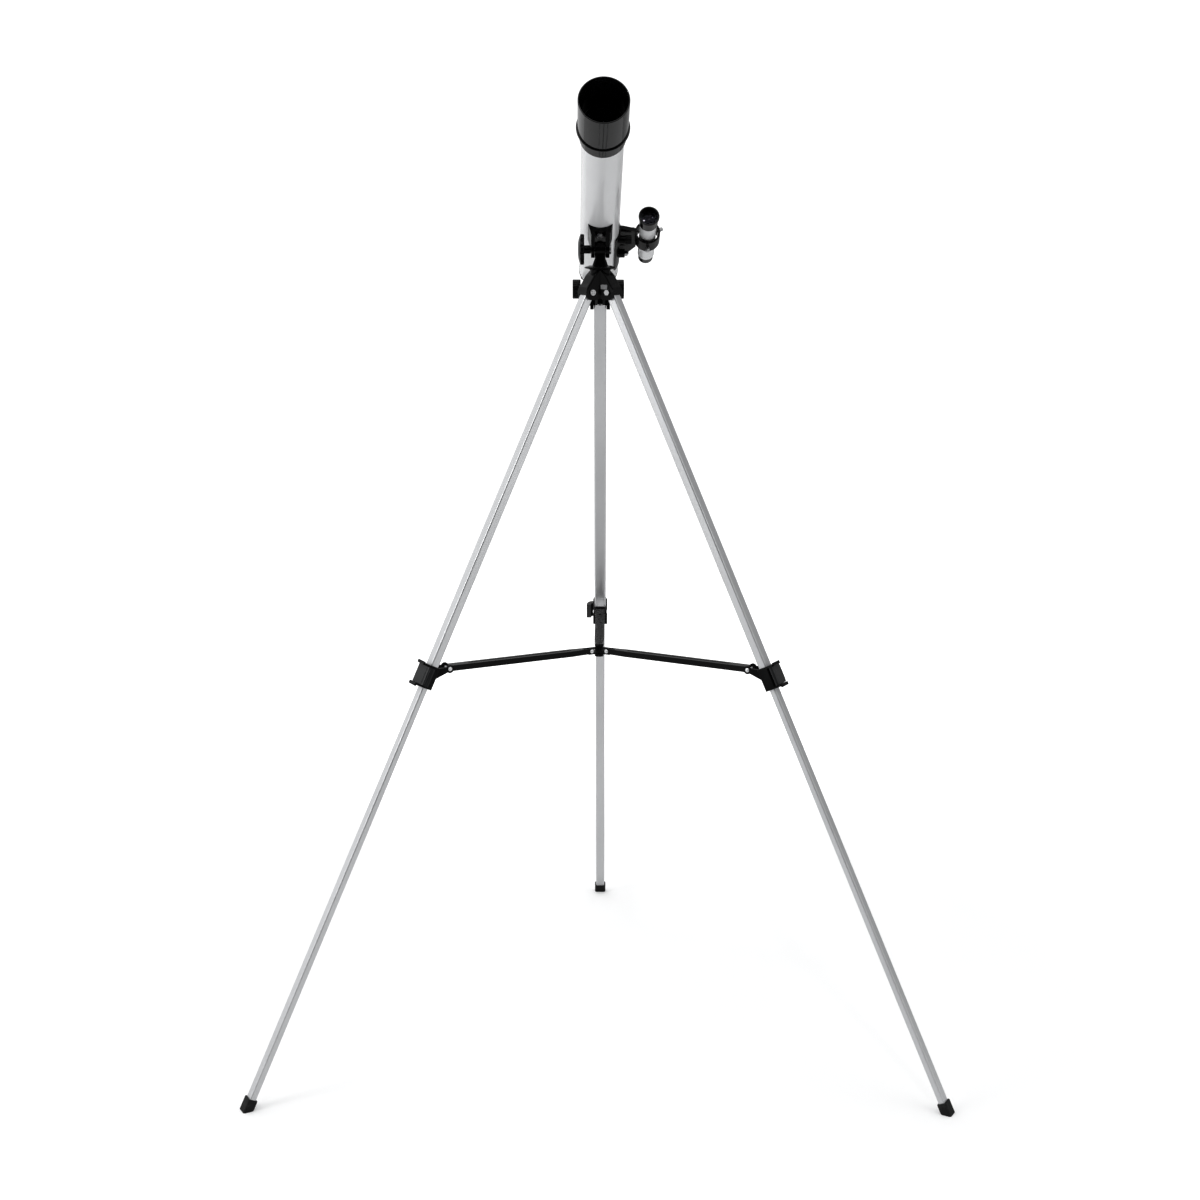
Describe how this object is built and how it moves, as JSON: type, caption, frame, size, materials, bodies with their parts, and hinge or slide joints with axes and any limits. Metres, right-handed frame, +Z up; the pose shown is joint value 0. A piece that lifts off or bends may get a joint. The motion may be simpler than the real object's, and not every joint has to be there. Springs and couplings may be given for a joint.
{
  "type": "refractor telescope on tripod",
  "caption": "Small refracting telescope with a side finder on an alt-azimuth head and a three-legged telescopic aluminium tripod with folding spreader.",
  "frame": {"origin": "on the floor at the middle of the footprint; the tripod's upright axis stands 143 mm in front of it", "axes": "+Z up, the telescope points toward -Y and upward, +X is the finder's side"},
  "size_m": [1.0288, 0.8919, 1.4363],
  "materials": {
    "leg_aluminium": "satin anodised extrusion",
    "foot_rubber": "matt rubber",
    "tripod_plastic": "fine moulded grain",
    "lever_plastic": "polished moulding",
    "arm_enamel": "black enamel on pressed steel",
    "rivet_steel": "zinc plated",
    "plate_silver": "plain silver",
    "head_enamel": "black enamel on cast metal",
    "knob_plastic": "moulded, fluted edge",
    "tube_white": "gloss white enamel",
    "black_gloss": "semi-gloss moulding",
    "drawtube_chrome": "polished",
    "eyepiece_black": "semi-gloss",
    "lens_glass": "polished, coated",
    "mirror": "front-silvered"
  },
  "bodies": {
    "crown": {"crown": "tripod_plastic", "leg_bolts": "rivet_steel", "crown_plate": "plate_silver"},
    "head": {"head_neck": "head_enamel", "azimuth_disc": "head_enamel", "azimuth_bolt": "rivet_steel", "azimuth_nut": "rivet_steel"},
    "tube": {"saddle": "head_enamel", "saddle_bolts": "rivet_steel", "main_tube": "tube_white", "dew_shield": "black_gloss", "lens_cell": "black_gloss", "crown_lens": "lens_glass", "flint_lens": "lens_glass", "lens_ring": "black_gloss", "focuser_body": "black_gloss", "focuser_screws": "rivet_steel", "finder_bracket": "black_gloss", "bracket_knob": "knob_plastic", "bracket_nut": "rivet_steel", "finder_tube": "tube_white", "finder_cell": "black_gloss", "finder_lens": "lens_glass", "finder_screws": "rivet_steel"},
    "altitude_clamp": {"altitude_bolt": "rivet_steel", "altitude_knob": "knob_plastic"},
    "focus_pinion": {"pinion_shaft": "rivet_steel", "focus_knobs": "knob_plastic"},
    "drawtube": {"drawtube": "drawtube_chrome", "focus_rack": "knob_plastic"},
    "drawtube_screw": {"drawtube_screw": "knob_plastic"},
    "diagonal": {"diagonal_body": "eyepiece_black", "diagonal_mirror": "mirror"},
    "diagonal_screw": {"diagonal_screw": "knob_plastic"},
    "eyepiece": {"eyepiece_body": "eyepiece_black", "eyepiece_lenses": "lens_glass"},
    "finder_eyepiece": {"finder_eyepiece": "black_gloss"},
    "spreader_hub": {"spreader_hub": "tripod_plastic"},
    "leg_left": {"upper_leg_left": "leg_aluminium", "lock_housing_left": "tripod_plastic"},
    "lower_leg_left": {"lower_leg_left": "leg_aluminium", "foot_left": "foot_rubber"},
    "lock_lever_left": {"lock_lever_left": "lever_plastic"},
    "spreader_arm_left": {"spreader_arm_left": "arm_enamel", "arm_rivets_left": "rivet_steel"},
    "leg_right": {"upper_leg_right": "leg_aluminium", "lock_housing_right": "tripod_plastic"},
    "lower_leg_right": {"lower_leg_right": "leg_aluminium", "foot_right": "foot_rubber"},
    "lock_lever_right": {"lock_lever_right": "lever_plastic"},
    "spreader_arm_right": {"spreader_arm_right": "arm_enamel", "arm_rivets_right": "rivet_steel"},
    "leg_back": {"upper_leg_back": "leg_aluminium", "lock_housing_back": "tripod_plastic"},
    "lower_leg_back": {"lower_leg_back": "leg_aluminium", "foot_back": "foot_rubber"},
    "lock_lever_back": {"lock_lever_back": "lever_plastic"},
    "spreader_arm_back": {"spreader_arm_back": "arm_enamel", "arm_rivets_back": "rivet_steel"}
  },
  "joints": [
    {"name": "azimuth_turn", "type": "hinge", "parent": "crown", "child": "head", "pos_m": [0, -0.143, 1.211], "axis": [0, 0, 1], "continuous": true},
    {"name": "altitude_tilt", "type": "hinge", "parent": "head", "child": "tube", "pos_m": [0, -0.143, 1.211], "axis": [-0.9998, -0.0209, 0], "range_deg": [-46, 33]},
    {"name": "altitude_clamp_turn", "type": "hinge", "parent": "tube", "child": "altitude_clamp", "pos_m": [0, -0.143, 1.211], "axis": [0.9998, 0.0209, 0], "range_deg": [0, 360]},
    {"name": "focus_turn", "type": "hinge", "parent": "tube", "child": "focus_pinion", "pos_m": [-0.00391, 0.04359, 1.14595], "axis": [-0.9998, -0.0209, 0], "range_deg": [-252.3, 412.73]},
    {"name": "drawtube_slide", "type": "slide", "parent": "tube", "child": "drawtube", "axis": [-0.0187, 0.894, -0.4478], "range_m": [-0.022, 0.036]},
    {"name": "drawtube_screw_turn", "type": "hinge", "parent": "drawtube", "child": "drawtube_screw", "pos_m": [-0.00546, 0.11764, 1.15986], "axis": [-0.0094, 0.4477, 0.8942], "range_deg": [0, 360]},
    {"name": "diagonal_turn", "type": "hinge", "parent": "drawtube", "child": "diagonal", "pos_m": [-0.00516, 0.10332, 1.14466], "axis": [0.0187, -0.894, 0.4478], "range_deg": [-90, 90]},
    {"name": "diagonal_screw_turn", "type": "hinge", "parent": "diagonal", "child": "diagonal_screw", "pos_m": [-0.02614, 0.14986, 1.16252], "axis": [0.9998, 0.0209, 0], "range_deg": [0, 360]},
    {"name": "eyepiece_lift", "type": "slide", "parent": "diagonal", "child": "eyepiece", "axis": [-0.0094, 0.4477, 0.8942], "range_m": [0, 0.06]},
    {"name": "finder_focus", "type": "slide", "parent": "tube", "child": "finder_eyepiece", "axis": [-0.0187, 0.894, -0.4478], "range_m": [-0.003, 0.006]},
    {"name": "leg_fold_left", "type": "hinge", "parent": "crown", "child": "leg_left", "pos_m": [-0.01732, -0.153, 1.15], "axis": [0.5, -0.866, 0], "range_deg": [0, 2.5]},
    {"name": "lower_leg_slide_left", "type": "slide", "parent": "leg_left", "child": "lower_leg_left", "axis": [-0.3802, -0.2195, -0.8985], "range_m": [-0.5, 0]},
    {"name": "lock_lever_turn_left", "type": "hinge", "parent": "leg_left", "child": "lock_lever_left", "pos_m": [-0.26137, -0.2842, 0.61197], "axis": [-0.3802, -0.2195, -0.8985], "range_deg": [0, 100]},
    {"name": "spreader_arm_turn_left", "type": "hinge", "parent": "leg_left", "child": "spreader_arm_left", "pos_m": [-0.22033, -0.27021, 0.61566], "axis": [0.5, -0.866, 0], "range_deg": [-27.5, 0.05]},
    {"name": "leg_fold_right", "type": "hinge", "parent": "crown", "child": "leg_right", "pos_m": [0.01732, -0.153, 1.15], "axis": [0.5, 0.866, 0], "range_deg": [-0.01, 2.51]},
    {"name": "lower_leg_slide_right", "type": "slide", "parent": "leg_right", "child": "lower_leg_right", "axis": [0.3802, -0.2195, -0.8985], "range_m": [-0.5, 0]},
    {"name": "lock_lever_turn_right", "type": "hinge", "parent": "leg_right", "child": "lock_lever_right", "pos_m": [0.25297, -0.29875, 0.61197], "axis": [0.3802, -0.2195, -0.8985], "range_deg": [0, 100]},
    {"name": "spreader_arm_turn_right", "type": "hinge", "parent": "leg_right", "child": "spreader_arm_right", "pos_m": [0.22033, -0.27021, 0.61566], "axis": [0.5, 0.866, 0], "range_deg": [-27.5, 0.05]},
    {"name": "leg_fold_back", "type": "hinge", "parent": "crown", "child": "leg_back", "pos_m": [0, -0.123, 1.15], "axis": [-1, 0, 0], "range_deg": [-0.01, 2.51]},
    {"name": "lower_leg_slide_back", "type": "slide", "parent": "leg_back", "child": "lower_leg_back", "axis": [0, 0.4391, -0.8985], "range_m": [-0.5, 0]},
    {"name": "lock_lever_turn_back", "type": "hinge", "parent": "leg_back", "child": "lock_lever_back", "pos_m": [0.0084, 0.15396, 0.61197], "axis": [0, 0.4391, -0.8985], "range_deg": [0, 100]},
    {"name": "spreader_arm_turn_back", "type": "hinge", "parent": "leg_back", "child": "spreader_arm_back", "pos_m": [0, 0.11142, 0.61566], "axis": [-1, 0, 0], "range_deg": [-27.5, 0.05]},
    {"name": "spreader_hub_drop", "type": "slide", "parent": "crown", "child": "spreader_hub", "axis": [0, 0, -1], "range_m": [-0.0001, 0.1102]}
  ],
  "couplings": [
    {"joint": "focus_turn", "follows": "drawtube_slide", "rad_per_m": 200},
    {"joint": "spreader_arm_turn_left", "follows": "leg_fold_left", "ratio": -10.932},
    {"joint": "leg_fold_right", "follows": "leg_fold_left", "ratio": 1},
    {"joint": "spreader_arm_turn_right", "follows": "leg_fold_left", "ratio": -10.932},
    {"joint": "leg_fold_back", "follows": "leg_fold_left", "ratio": 1},
    {"joint": "spreader_arm_turn_back", "follows": "leg_fold_left", "ratio": -10.932},
    {"joint": "spreader_hub_drop", "follows": "leg_fold_left", "m_per_rad": 2.5224}
  ]
}
